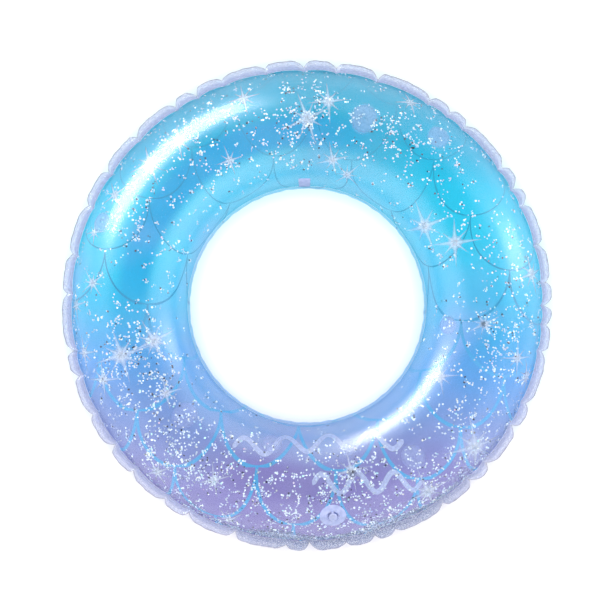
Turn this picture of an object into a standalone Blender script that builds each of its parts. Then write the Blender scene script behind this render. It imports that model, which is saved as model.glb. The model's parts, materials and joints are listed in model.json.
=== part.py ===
"""Inflatable swim ring: two welded PVC films, a push-in valve and loose glitter.

The ring lies flat, +Z is its axis and the origin is the centre of its base. Metres.
The tube's section is a polygon with one facet flat on the ground, and every shell uses the same
angles, so that neighbouring shells nest with an even gap.
"""

from math import cos, pi, radians, sin

import bmesh
import bpy
from mathutils import Matrix, Vector

# Driving sizes of the inflated ring
OVERALL_R = 0.3530
OUTER_SEAM_R = 0.3386
INNER_SEAM_R = 0.1720
CLEAR_HOLE_R = 0.1685
FILM_T = 0.00045
GAP = 0.0003

# How finely the ring and its section are divided
RING_SIDES = 64
SECTION_STEP = radians(12)

# Worked out from those
TUBE_R = (OUTER_SEAM_R - INNER_SEAM_R) / 2
RING_R = (OUTER_SEAM_R + INNER_SEAM_R) / 2
FACET = cos(SECTION_STEP / 2)
SEAM_Z = TUBE_R * FACET
BAND_T = 2 * FILM_T + GAP

# The valve: where it sits on the tube, then its own radii and heights along its axis.
# Height 0 is the film's round surface, and negative heights are inside the bladder.
VALVE_AZIMUTH = radians(-83)
VALVE_ELEVATION = radians(56)
FLANGE_R = 0.0190
FLANGE_T = 0.0009
FLANGE_HOLE_R = 0.0087
FILM_HOLE_R = 0.0088
SLEEVE_T = 0.0005
SLEEVE_TOP = (0.0084, 0.0010)
SLEEVE_FOOT = (0.0070, -0.0094)
NECK_R = 0.0052
BORE_R = 0.0040
NECK_RIM = (0.0058, 0.0010, 0.0018)
NECK_COLLAR = (0.0062, -0.0095, -0.0083)
FLAP_R = 0.0049
FLAP_T = 0.0006
FLAP_HINGE_V = 0.0056
FLAP_TAB = (0.0030, 0.0061)
PLUG_HEAD = (0.0063, 0.0021, 0.0035)
PLUG_SHANK = [(0.0037, 0.0021), (0.0036, -0.0002), (0.0032, -0.0017), (0.0024, -0.0030)]
PLUG_TAB = (0.0040, 0.0096, 0.0023, 0.0035)
PLUG_PIVOT = (0.0080, 0.0021)
TETHER_W = 0.0030
TETHER_T = 0.0006
TETHER_LOW = 0.0014
TETHER_HIGH = 0.0028
TETHER_BEND_V = 0.0090
VALVE_SIDES = 32

# The small reinforcing patch over the inner seam
PATCH_AZIMUTH = radians(91.2)
PATCH_SIZE = (0.0165, 0.013)
PATCH_T = 0.0004

# The part of the tube under the patch and under the valve's base: steps of the section, then sides of
# the ring
PATCH_COVER = (11, 15, (13, 19))
FLANGE_COVER = (2, 7, (-18, -11))

# The drift of loose flakes that lies inside, against the outer seam
GLITTER_T = 0.0004
GLITTER_FROM, GLITTER_TO = -27, -5
GLITTER_SECTION = (-5, -1)


def clear_scene():
    for ob in list(bpy.data.objects):
        bpy.data.objects.remove(ob, do_unlink=True)


def plastic(name, colour, roughness, alpha=1.0, metallic=0.0):
    mat = bpy.data.materials.new(name)
    mat.use_nodes = True
    shader = mat.node_tree.nodes["Principled BSDF"]
    shader.inputs["Base Color"].default_value = (*colour, 1.0)
    shader.inputs["Roughness"].default_value = roughness
    shader.inputs["Metallic"].default_value = metallic
    shader.inputs["Alpha"].default_value = alpha
    return mat


def add_object(name, bm, mat, matrix=None):
    """Makes an object from a bmesh built in its own axes and puts it in place."""
    bmesh.ops.recalc_face_normals(bm, faces=bm.faces)
    mesh = bpy.data.meshes.new(name)
    bm.to_mesh(mesh)
    bm.free()
    mesh.materials.append(mat)
    mesh.shade_smooth()
    mesh.set_sharp_from_angle(angle=radians(30))
    ob = bpy.data.objects.new(name, mesh)
    bpy.context.scene.collection.objects.link(ob)
    if matrix is not None:
        ob.matrix_world = matrix
    return ob


def cut(ob, cutter, operation):
    """Adds a Boolean with a hidden cutter."""
    cutter.hide_render = True
    cutter.display_type = "WIRE"
    mod = ob.modifiers.new(cutter.name, "BOOLEAN")
    mod.operation = operation
    mod.object = cutter
    mod.solver = "EXACT"


# Shells of the tube


def section_point(radius, angle):
    return (RING_R + radius * cos(angle), SEAM_Z + radius * sin(angle))


def section_steps(first, last):
    return [SECTION_STEP * k for k in range(first, last + 1)]


def film_section(side):
    """The closed outline of one film's half section, side +1 above the seams and -1 below."""
    angles = [side * a for a in section_steps(0, 15)]
    outer = [section_point(TUBE_R, a) for a in angles]
    inner = [section_point(TUBE_R - FILM_T, a) for a in angles]
    edge_z = SEAM_Z + side * GAP / 2
    for line in (outer, inner):
        line[0] = (line[0][0], edge_z)
        line[-1] = (line[-1][0], edge_z)
    return outer + inner[::-1]


def shell_section(inner_r, outer_r, first, last):
    angles = section_steps(first, last)
    outer = [section_point(outer_r, a) for a in angles]
    inner = [section_point(inner_r, a) for a in angles]
    return outer + inner[::-1]


def turned(section, first=0, last=RING_SIDES):
    """A bmesh of a section carried round the ring, closed on itself or capped at both ends."""
    bm = bmesh.new()
    whole = last - first == RING_SIDES
    rings = []
    for k in range(first, last if whole else last + 1):
        a = 2 * pi * k / RING_SIDES
        rings.append([bm.verts.new((r * cos(a), r * sin(a), z)) for r, z in section])
    n = len(section)
    for i in range(len(rings) if whole else len(rings) - 1):
        here, there = rings[i], rings[(i + 1) % len(rings)]
        for j in range(n):
            bm.faces.new((here[j], there[j], there[(j + 1) % n], here[(j + 1) % n]))
    if not whole:
        for ring in (rings[0], rings[-1]):
            half = n // 2
            for j in range(half - 1):
                bm.faces.new((ring[j], ring[j + 1], ring[n - 2 - j], ring[n - 1 - j]))
    return bm


def flat_ring(inner_r, outer_r, thickness):
    low, high = SEAM_Z - thickness / 2, SEAM_Z + thickness / 2
    return turned([(inner_r, low), (outer_r, low), (outer_r, high), (inner_r, high)])


# Solids turned about the valve's own axis


def lathe(profile, sides=VALVE_SIDES):
    """A bmesh turned about +Z from (radius, height) points. Radius 0 closes the end with a fan."""
    bm = bmesh.new()
    rings = []
    for r, z in profile:
        if r == 0:
            rings.append([bm.verts.new((0, 0, z))])
            continue
        turn = [2 * pi * k / sides for k in range(sides)]
        rings.append([bm.verts.new((r * cos(a), r * sin(a), z)) for a in turn])
    closed = profile[0][0] != 0
    for i in range(len(rings) if closed else len(rings) - 1):
        here, there = rings[i], rings[(i + 1) % len(rings)]
        for k in range(sides):
            m = (k + 1) % sides
            corners = [here[k % len(here)], here[m % len(here)]]
            corners += [there[m % len(there)], there[k % len(there)]]
            bm.faces.new(list(dict.fromkeys(corners)))
    return bm


def slab(size_u, low_v, high_v, low_w, high_w):
    bm = bmesh.new()
    bmesh.ops.create_cube(bm, size=1.0)
    centre = Vector((0, (low_v + high_v) / 2, (low_w + high_w) / 2))
    scale = Matrix.Diagonal((size_u, high_v - low_v, high_w - low_w, 1))
    bm.transform(Matrix.Translation(centre) @ scale)
    return bm


def surface_frame(azimuth, elevation):
    """A frame on the tube's round surface: X runs round the ring, Y over the tube and Z out of it."""
    out = Vector((cos(azimuth), sin(azimuth), 0))
    normal = out * cos(elevation) + Vector((0, 0, sin(elevation)))
    along = Vector((-sin(azimuth), cos(azimuth), 0))
    over = normal.cross(along)
    place = out * RING_R + Vector((0, 0, SEAM_Z)) + normal * TUBE_R
    matrix = Matrix((along, over, normal)).transposed().to_4x4()
    matrix.translation = place
    return matrix


VALVE = surface_frame(VALVE_AZIMUTH, VALVE_ELEVATION)
COVER_DEPTH = 0.02


def disc_cutter(name, radius):
    bm = lathe([(0, -COVER_DEPTH), (radius, -COVER_DEPTH), (radius, COVER_DEPTH), (0, COVER_DEPTH)])
    return add_object(name, bm, CLEAR, VALVE)


def cover_shell(first, last, sides, thickness):
    """A shell that lies a gap above the film, for a flat piece welded on it."""
    low = TUBE_R + GAP / FACET
    return turned(shell_section(low, low + thickness, first, last), *sides)


# Sub-parts


def films():
    top = add_object("top_film", turned(film_section(1)), CLEAR)
    cut(top, disc_cutter("film_hole_cutter", FILM_HOLE_R), "DIFFERENCE")
    add_object("bottom_film", turned(film_section(-1)), PRINT)


def seam_bands():
    outer = flat_ring(OUTER_SEAM_R + GAP, OVERALL_R, BAND_T)
    add_object("outer_seam_band", outer, WELD)
    inner = flat_ring(CLEAR_HOLE_R, INNER_SEAM_R - GAP, BAND_T)
    add_object("inner_seam_band", inner, WELD)


def seam_patch():
    patch = add_object("seam_patch", cover_shell(*PATCH_COVER, PATCH_T), WELD)
    half = PATCH_SIZE[0] / 2
    out = Vector((cos(PATCH_AZIMUTH), sin(PATCH_AZIMUTH), 0))
    along = Vector((-out.y, out.x, 0))
    frame = Matrix((along, out, Vector((0, 0, 1)))).transposed().to_4x4()
    bm = slab(2 * half, CLEAR_HOLE_R, CLEAR_HOLE_R + PATCH_SIZE[1], SEAM_Z + BAND_T, 3 * SEAM_Z)
    cut(patch, add_object("patch_cutter", bm, CLEAR, frame), "INTERSECT")


def valve_flange():
    flange = add_object("valve_flange", cover_shell(*FLANGE_COVER, FLANGE_T), FROSTED)
    cut(flange, disc_cutter("flange_cutter", FLANGE_R), "INTERSECT")
    cut(flange, disc_cutter("flange_hole_cutter", FLANGE_HOLE_R), "DIFFERENCE")


def valve_diaphragm():
    (top_r, top_w), (foot_r, foot_w) = SLEEVE_TOP, SLEEVE_FOOT
    wall = [(top_r, top_w), (foot_r, foot_w), (foot_r - SLEEVE_T, foot_w), (top_r - SLEEVE_T, top_w)]
    add_object("valve_diaphragm", lathe(wall), FROSTED, VALVE)


def valve_neck():
    rim_r, rim_low, rim_high = NECK_RIM
    collar_r, collar_low, collar_high = NECK_COLLAR
    wall = [(BORE_R, collar_low), (collar_r, collar_low), (collar_r, collar_high)]
    wall += [(NECK_R, collar_high), (NECK_R, rim_low), (rim_r, rim_low), (rim_r, rim_high)]
    wall += [(BORE_R, rim_high)]
    add_object("valve_neck", lathe(wall), FROSTED, VALVE)


def valve_flap():
    """The disc under the neck with its hinge tab. Its origin is on the hinge."""
    tab_u, tab_v = FLAP_TAB
    half = FLAP_T / 2
    disc = lathe([(0, -half), (FLAP_R, -half), (FLAP_R, half), (0, half)])
    disc.transform(Matrix.Translation((0, -FLAP_HINGE_V, 0)))
    height = NECK_COLLAR[1] - GAP - half
    frame = VALVE @ Matrix.Translation((0, FLAP_HINGE_V, height))
    flap = add_object("valve_flap", disc, FROSTED, frame)
    tab = slab(tab_u, -FLAP_R / 2, tab_v - FLAP_HINGE_V, -half, half)
    cut(flap, add_object("flap_tab_shape", tab, FROSTED, frame), "UNION")


def valve_plug():
    """The stopper with its head and pull tab. Its origin is on its hinge."""
    head_r, head_low, head_high = PLUG_HEAD
    profile = [(0, PLUG_SHANK[-1][1])] + PLUG_SHANK[::-1]
    profile += [(head_r, head_low), (head_r, head_high), (0, head_high)]
    body = lathe(profile)
    pivot = Vector((0, *PLUG_PIVOT))
    body.transform(Matrix.Translation(-pivot))
    frame = VALVE @ Matrix.Translation(pivot)
    plug = add_object("valve_plug", body, FROSTED, frame)
    tab_u, reach, low, high = PLUG_TAB
    tab = slab(tab_u, -reach, -head_r / 2, low, high)
    tab.transform(Matrix.Translation(-pivot))
    cut(plug, add_object("plug_tab_shape", tab, FROSTED, frame), "UNION")


def plug_tether():
    """A strap that leaves the neck's rim, bends back over itself and meets the stopper's head."""
    middle_w = (TETHER_LOW + TETHER_HIGH) / 2
    bend = (TETHER_HIGH - TETHER_LOW) / 2
    turn = [radians(a) for a in range(-90, 91, 30)]
    line = [(NECK_RIM[0] + GAP, TETHER_LOW, -pi / 2)]
    line += [(TETHER_BEND_V + bend * cos(a), middle_w + bend * sin(a), a) for a in turn]
    line += [(PLUG_HEAD[0] + GAP, TETHER_HIGH, pi / 2)]
    bm = bmesh.new()
    half_t, half_w = TETHER_T / 2, TETHER_W / 2
    rings = []
    for v, w, a in line:
        inner = (v - half_t * cos(a), w - half_t * sin(a))
        outer = (v + half_t * cos(a), w + half_t * sin(a))
        corners = [(-half_w, *inner), (half_w, *inner), (half_w, *outer), (-half_w, *outer)]
        rings.append([bm.verts.new(c) for c in corners])
    for here, there in zip(rings, rings[1:]):
        for j in range(4):
            bm.faces.new((here[j], there[j], there[(j + 1) % 4], here[(j + 1) % 4]))
    bm.faces.new(rings[0])
    bm.faces.new(rings[-1][::-1])
    add_object("plug_tether", bm, FROSTED, VALVE)


def loose_glitter():
    outer = TUBE_R - FILM_T - GAP / FACET
    section = shell_section(outer - GLITTER_T, outer, *GLITTER_SECTION)
    add_object("loose_glitter", turned(section, GLITTER_FROM, GLITTER_TO), FLAKES)


clear_scene()
CLEAR = plastic("clear_film", (0.80, 0.92, 0.98), 0.08, alpha=0.35)
PRINT = plastic("printed_film", (0.22, 0.60, 0.88), 0.15)
WELD = plastic("weld", (0.82, 0.84, 0.94), 0.20, alpha=0.7)
FROSTED = plastic("frosted_valve", (0.62, 0.68, 0.85), 0.35)
FLAKES = plastic("flakes", (0.85, 0.85, 0.88), 0.30, metallic=1.0)
films()
seam_bands()
seam_patch()
valve_flange()
valve_diaphragm()
valve_neck()
valve_flap()
valve_plug()
plug_tether()
loose_glitter()
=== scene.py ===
"""Looks of the inflatable swim ring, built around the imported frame.

A flat sheet was printed and then blown up into the lower half of the tube, so the print is laid out
on the flat sheet ("flat" coordinates, metres) and carried onto the tube from there.
"""

import json
from math import asin, atan2, cos, pi, radians, sin

import bpy
import numpy as np
from mathutils import Matrix, Vector


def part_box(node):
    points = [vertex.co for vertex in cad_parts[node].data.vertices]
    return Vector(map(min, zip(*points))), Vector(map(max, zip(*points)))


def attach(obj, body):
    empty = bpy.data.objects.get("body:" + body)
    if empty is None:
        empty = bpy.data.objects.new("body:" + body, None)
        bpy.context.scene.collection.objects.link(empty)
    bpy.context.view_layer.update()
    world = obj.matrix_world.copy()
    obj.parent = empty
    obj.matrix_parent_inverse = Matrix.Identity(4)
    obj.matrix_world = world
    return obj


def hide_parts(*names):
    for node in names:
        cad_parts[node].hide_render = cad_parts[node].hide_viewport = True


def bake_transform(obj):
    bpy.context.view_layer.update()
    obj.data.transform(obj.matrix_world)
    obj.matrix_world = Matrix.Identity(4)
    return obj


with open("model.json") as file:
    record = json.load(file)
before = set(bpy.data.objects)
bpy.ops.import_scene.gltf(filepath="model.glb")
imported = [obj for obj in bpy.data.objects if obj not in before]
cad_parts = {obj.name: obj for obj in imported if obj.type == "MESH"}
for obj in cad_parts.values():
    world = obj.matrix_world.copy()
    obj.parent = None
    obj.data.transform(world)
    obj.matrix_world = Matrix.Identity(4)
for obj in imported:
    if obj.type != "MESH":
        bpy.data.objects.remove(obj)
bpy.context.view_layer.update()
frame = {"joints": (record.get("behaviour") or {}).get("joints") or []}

# Sizes of the ring, read from the frame. The film's own thickness is the CAD's.
FILM_T = 0.00045
WELD_GAP = 0.0003
OUTER_SEAM_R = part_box("top_film")[1][0]
INNER_SEAM_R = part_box("inner_seam_band")[1][0] + WELD_GAP
FLANGE_TIP_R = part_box("outer_seam_band")[1][0]
TUBE_R = (OUTER_SEAM_R - INNER_SEAM_R) / 2
RING_R = (OUTER_SEAM_R + INNER_SEAM_R) / 2
SEAM_Z = (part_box("outer_seam_band")[0][2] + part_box("outer_seam_band")[1][2]) / 2
FLANGE_W = FLANGE_TIP_R - OUTER_SEAM_R
CLEAR_HOLE_R = INNER_SEAM_R - 0.0035

# The puckers of the outer weld, where the flat margin is too long for the blown-up ring
PUCKERS = 41
SAMPLES_PER_PUCKER = 20
PINCH_IN = 0.0034
PINCH_UP = 0.0022
PINCH_WIDTH = 0.0040
PINCH_REACH = 0.013
BULGE_OUT = 0.0010
CREASES = 190
CREASE_DEPTH = 0.0007
CREASE_WIDTH = 0.0026
CREASE_REACH = 0.018

VALVE_SIDES = 72


# Meshes from arrays


def make_mesh(name, points, faces, smooth=True):
    """An object from an array of points and a list of face arrays, each with its own corner count."""
    mesh = bpy.data.meshes.new(name)
    points = np.asarray(points, dtype=np.float32).reshape(-1, 3)
    corners = np.concatenate([np.asarray(f, dtype=np.int32).ravel() for f in faces])
    counts = np.concatenate([np.full(len(f), np.shape(f)[1], dtype=np.int32) for f in faces])
    starts = np.concatenate(([0], np.cumsum(counts)[:-1])).astype(np.int32)
    mesh.vertices.add(len(points))
    mesh.vertices.foreach_set("co", points.ravel())
    mesh.loops.add(len(corners))
    mesh.loops.foreach_set("vertex_index", corners)
    mesh.polygons.add(len(counts))
    mesh.polygons.foreach_set("loop_start", starts)
    mesh.polygons.foreach_set("use_smooth", np.full(len(counts), smooth))
    mesh.update(calc_edges=True)
    mesh.validate()
    ob = bpy.data.objects.new(name, mesh)
    bpy.context.scene.collection.objects.link(ob)
    return ob


def set_attribute(ob, name, values):
    values = np.asarray(values, dtype=np.float32)
    kind = "FLOAT_VECTOR" if values.ndim == 2 else "FLOAT"
    key = "vector" if values.ndim == 2 else "value"
    attribute = ob.data.attributes.new(name, kind, "POINT")
    attribute.data.foreach_set(key, values.ravel())


def grid_quads(rows, cols, wrap):
    """Quads of a grid numbered row by row. wrap joins the last row to the first."""
    i = np.arange(rows if wrap else rows - 1)[:, None]
    j = np.arange(cols - 1)[None, :]
    k = (i + 1) % rows
    quads = np.stack([i * cols + j, k * cols + j, k * cols + j + 1, i * cols + j + 1], axis=-1)
    return quads.reshape(-1, 4)


def loop_quads(rows, cols, wrap):
    """Quads of a grid whose rows are closed loops, such as the sections of a swept bar."""
    i = np.arange(rows if wrap else rows - 1)[:, None]
    j = np.arange(cols)[None, :]
    k, m = (i + 1) % rows, (j + 1) % cols
    quads = np.stack([i * cols + j, k * cols + j, k * cols + m, i * cols + m], axis=-1)
    return quads.reshape(-1, 4)


# The shape of the tube, with its puckers


rng = np.random.default_rng(11)
pucker_share = rng.uniform(0.50, 1.6, PUCKERS)
PUCKER_AT = np.cumsum(pucker_share) * 2 * pi / pucker_share.sum()
PUCKER_DEPTH = rng.uniform(0.45, 1.0, PUCKERS)
PUCKER_LIFT = np.where(np.arange(PUCKERS) % 2 == 0, 1.0, -1.0) * rng.uniform(0.35, 1.0, PUCKERS)
PUCKER_LEAN = rng.choice([-1.0, 1.0], PUCKERS)
CREASE_AT = rng.uniform(0, 2 * pi, CREASES)
CREASE_SIZE = rng.uniform(-1.0, 1.0, CREASES)


def arc_to(azimuth, places):
    """Distances round the outer seam from each azimuth to each place, in metres."""
    gap = (np.asarray(azimuth)[..., None] - places + pi) % (2 * pi) - pi
    return np.abs(gap) * OUTER_SEAM_R


def pucker_share_at(azimuth):
    """Where an azimuth lies in its scallop, from 0 at one pucker to 1 at the next."""
    edges = np.concatenate(([PUCKER_AT[-1] - 2 * pi], PUCKER_AT, [PUCKER_AT[0] + 2 * pi]))
    a = np.asarray(azimuth) % (2 * pi)
    k = np.clip(np.searchsorted(edges, a, side="right") - 1, 0, len(edges) - 2)
    return (a - edges[k]) / (edges[k + 1] - edges[k])


def pinch(azimuth):
    """How much each azimuth is pulled in and lifted at the outer seam, in metres."""
    sharp = np.exp(-arc_to(azimuth, PUCKER_AT) / PINCH_WIDTH)
    inward = PINCH_IN * (sharp * PUCKER_DEPTH).sum(axis=-1)
    bulge = BULGE_OUT * np.sin(pi * pucker_share_at(azimuth))
    lift = PINCH_UP * (sharp * PUCKER_DEPTH * PUCKER_LIFT).sum(axis=-1)
    return bulge - inward, lift


def creases(azimuth):
    near = np.exp(-((arc_to(azimuth, CREASE_AT) / CREASE_WIDTH) ** 2))
    return CREASE_DEPTH * (near * CREASE_SIZE).sum(axis=-1)


def tube_points(azimuth, turn, side, depth):
    """Points on the blown-up tube. turn is 0 at the inner seam and pi at the outer one, side is +1 on
    the top film and -1 on the bottom one, and depth is how far inside the film's outer face."""
    azimuth, turn = np.broadcast_arrays(azimuth, turn)
    out, lift = pinch(azimuth)
    arc = TUBE_R * (pi - turn)
    fade = np.exp(-arc / PINCH_REACH)
    swell = creases(azimuth) * np.exp(-arc / CREASE_REACH) * np.sin(turn) ** 0.25
    radius = TUBE_R - depth + swell
    r = RING_R - radius * np.cos(turn) + out * fade
    z = SEAM_Z + side * radius * np.sin(turn) + lift * fade
    z = np.maximum(z, depth)  # flat where the ring rests
    return np.stack([r * np.cos(azimuth), r * np.sin(azimuth), z], axis=-1)


def flat_place(azimuth, turn):
    """Where a point of the tube lay on the flat sheet."""
    rho = INNER_SEAM_R + TUBE_R * turn
    return np.stack([rho * np.cos(azimuth), rho * np.sin(azimuth), 0 * rho], axis=-1)


def from_flat(x, y):
    rho = np.hypot(x, y)
    return np.arctan2(y, x), (rho - INNER_SEAM_R) / TUBE_R


def seam_azimuths():
    """Azimuths round the whole ring, closer together at each pucker."""
    share = (1 - np.cos(pi * np.arange(SAMPLES_PER_PUCKER) / SAMPLES_PER_PUCKER)) / 2
    starts = PUCKER_AT
    ends = np.concatenate((PUCKER_AT[1:], [PUCKER_AT[0] + 2 * pi]))
    return (starts[:, None] + (ends - starts)[:, None] * share[None, :]).ravel()


def surface_frame(azimuth, elevation):
    """A frame on the tube: X runs round the ring, Y over the tube and Z out of it."""
    out = Vector((cos(azimuth), sin(azimuth), 0))
    normal = out * cos(elevation) + Vector((0, 0, sin(elevation)))
    along = Vector((-sin(azimuth), cos(azimuth), 0))
    matrix = Matrix((along, normal.cross(along), normal)).transposed().to_4x4()
    matrix.translation = out * RING_R + Vector((0, 0, SEAM_Z)) + normal * TUBE_R
    return matrix


PULL_AXIS = Vector(next(j for j in frame["joints"] if j["name"] == "valve_pull")["axis"])
VALVE = surface_frame(atan2(PULL_AXIS.y, PULL_AXIS.x), asin(PULL_AXIS.z))


def placed(matrix, points):
    rotation = np.array(matrix.to_3x3())
    return np.asarray(points) @ rotation.T + np.array(matrix.translation)


def on_tube(points, height):
    """Moves points that lie near the tube onto its round surface, at a height above it."""
    r = np.hypot(points[..., 0], points[..., 1])
    section = np.stack([r - RING_R, points[..., 2] - SEAM_Z], axis=-1)
    section /= np.linalg.norm(section, axis=-1, keepdims=True)
    reach = (TUBE_R + height)[..., None] * section
    scale = (RING_R + reach[..., 0]) / r
    z = SEAM_Z + reach[..., 1]
    return np.stack([points[..., 0] * scale, points[..., 1] * scale, z], axis=-1)


# Shader nodes


class Shader:
    """A material's node tree, with short calls for the nodes used here."""

    def __init__(self, name):
        self.mat = bpy.data.materials.new(name)
        self.mat.use_nodes = True
        self.tree = self.mat.node_tree
        self.tree.nodes.clear()
        self.end = self.tree.nodes.new("ShaderNodeOutputMaterial")

    def node(self, kind, inputs=(), **settings):
        n = self.tree.nodes.new("ShaderNode" + kind)
        for key, value in settings.items():
            setattr(n, key, value)
        for key, value in dict(inputs).items():
            self.put(n.inputs[key], value)
        return n

    def put(self, socket, value):
        if isinstance(value, bpy.types.NodeSocket):
            self.tree.links.new(value, socket)
        elif isinstance(value, tuple) and len(value) == 3 and len(socket.default_value) == 4:
            socket.default_value = (*value, 1.0)
        else:
            socket.default_value = value

    def math(self, operation, a, b=0.0, clamp=False):
        n = self.node("Math", {0: a, 1: b}, operation=operation, use_clamp=clamp)
        return n.outputs[0]

    def step(self, value, low, high, to_low=0.0, to_high=1.0):
        """A smooth step from low to high."""
        ends = {"Value": value, "From Min": low, "From Max": high}
        ends.update({"To Min": to_low, "To Max": to_high})
        n = self.node("MapRange", ends, interpolation_type="SMOOTHSTEP")
        return n.outputs["Result"]

    def ramp(self, value, stops):
        n = self.node("ValToRGB", {"Fac": value})
        elements = n.color_ramp.elements
        while len(elements) < len(stops):
            elements.new(0.5)
        for element, (at, colour) in zip(elements, stops):
            element.position = at
            element.color = (*colour, 1.0)
        return n.outputs["Color"]

    def noise(self, place, scale, detail=2.0, rough=0.5):
        inputs = {"Vector": place, "Scale": scale, "Detail": detail, "Roughness": rough}
        return self.node("TexNoise", inputs).outputs["Fac"]

    def mix_colour(self, share, a, b):
        n = self.node("Mix", data_type="RGBA")
        self.put(n.inputs["Factor"], share)
        self.put(n.inputs[6], a)
        self.put(n.inputs[7], b)
        return n.outputs[2]

    def mix(self, share, a, b):
        return self.node("MixShader", {0: share, 1: a, 2: b}).outputs[0]

    def attribute(self, name):
        return self.node("Attribute", attribute_name=name)

    def object_place(self):
        return self.node("TexCoord").outputs["Object"]

    def bump(self, height, strength, distance):
        inputs = {"Height": height, "Strength": strength, "Distance": distance}
        return self.node("Bump", inputs).outputs["Normal"]

    def done(self, surface):
        self.tree.links.new(surface, self.end.inputs["Surface"])
        return self.mat


def srgb(r, g, b):
    """A linear colour from 0 to 255 screen values."""
    c = np.array([r, g, b]) / 255
    return tuple(float(v) for v in np.where(c <= 0.04045, c / 12.92, ((c + 0.055) / 1.055) ** 2.4))


MOST_GLOSS = 0.055


def film_gloss(s, under, roughness, ior, normal):
    """Lays a film's own gloss over a shader that shows through it, the same from either face."""
    back = s.node("NewGeometry").outputs["Backfacing"]
    faced = s.node("MapRange", {"Value": back, "To Min": ior, "To Max": 1 / ior}).outputs["Result"]
    share = s.node("Fresnel", {"IOR": faced, "Normal": normal}).outputs[0]
    share = s.math("MINIMUM", share, MOST_GLOSS)
    gloss = s.node("BsdfGlossy", {"Color": (1, 1, 1), "Roughness": roughness, "Normal": normal})
    return s.mix(share, under, gloss.outputs[0])


def clear_film_material():
    """Clear soft PVC: gloss, a faint blue cast and a trace of haze that thickens in cloudy patches."""
    s = Shader("clear_pvc")
    place = s.object_place()
    ripple = s.noise(place, 38.0, 3.0)
    normal = s.bump(ripple, 0.10, 0.002)
    cloud = s.step(s.noise(place, 7.0, 3.0), 0.35, 0.75, 0.005, 0.03)
    clear = s.node("BsdfTransparent", {"Color": srgb(247, 251, 254)}).outputs[0]
    haze = s.node("BsdfDiffuse", {"Color": srgb(236, 242, 255)}).outputs[0]
    body = s.mix(cloud, clear, haze)
    return s.done(film_gloss(s, body, 0.27, 1.50, normal))


# The print on the lower film, laid out on the flat sheet

# A scale's width and height, and the pattern's turn and start, on the flat sheet
SCALE_W = 0.138
SCALE_H = 0.091
SCALE_TURN = radians(3.0)
SCALE_FROM = (-0.2795, 0.0014)
PRINT_REACH = 0.43
PRINT_STOPS = [
    (-0.430, srgb(185, 165, 214)),
    (-0.300, srgb(174, 156, 212)),
    (-0.200, srgb(160, 180, 226)),
    (-0.110, srgb(104, 188, 238)),
    (0.000, srgb(66, 216, 240)),
    (0.110, srgb(36, 226, 242)),
    (0.210, srgb(6, 222, 240)),
    (0.290, srgb(0, 202, 226)),
    (0.430, srgb(0, 190, 212)),
]
LINE_TEAL = srgb(24, 160, 192)
LINE_BLUE = srgb(104, 204, 240)
CLOUD = srgb(205, 205, 245)
PAINTED_SHADE_WAY = (cos(radians(128)), sin(radians(128)), 0.0)  # to where the painted shade on the crown is darkest


def scale_lines(s, x, y):
    """The fish-scale line pattern: how much of a line lies at a place on the flat sheet."""
    cos_t, sin_t = cos(SCALE_TURN), sin(SCALE_TURN)
    dx = s.math("SUBTRACT", x, SCALE_FROM[0])
    dy = s.math("SUBTRACT", y, SCALE_FROM[1])
    u = s.math("SUBTRACT", s.math("MULTIPLY", dx, cos_t), s.math("MULTIPLY", dy, sin_t))
    v = s.math("ADD", s.math("MULTIPLY", dx, sin_t), s.math("MULTIPLY", dy, cos_t))
    v = s.math("DIVIDE", v, SCALE_H)
    row = s.math("CEIL", v)
    down = s.math("SUBTRACT", row, v)
    odd = s.math("ABSOLUTE", s.math("MODULO", row, 2.0))
    u = s.math("ADD", s.math("DIVIDE", u, SCALE_W), s.math("MULTIPLY", odd, 0.5))
    across = s.math("MULTIPLY", s.math("SUBTRACT", s.math("FRACT", u), 0.5), 2.0)
    reach2 = s.math("ADD", s.math("MULTIPLY", across, across), s.math("MULTIPLY", down, down))
    off = s.math("ABSOLUTE", s.math("SUBTRACT", s.math("SQRT", reach2), 1.0))
    wide = s.step(y, 0.10, -0.12)
    half = s.math("ADD", s.math("MULTIPLY", wide, 0.026), 0.013)
    edge = s.math("DIVIDE", off, half)
    return s.step(edge, 1.15, 0.75), wide


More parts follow.
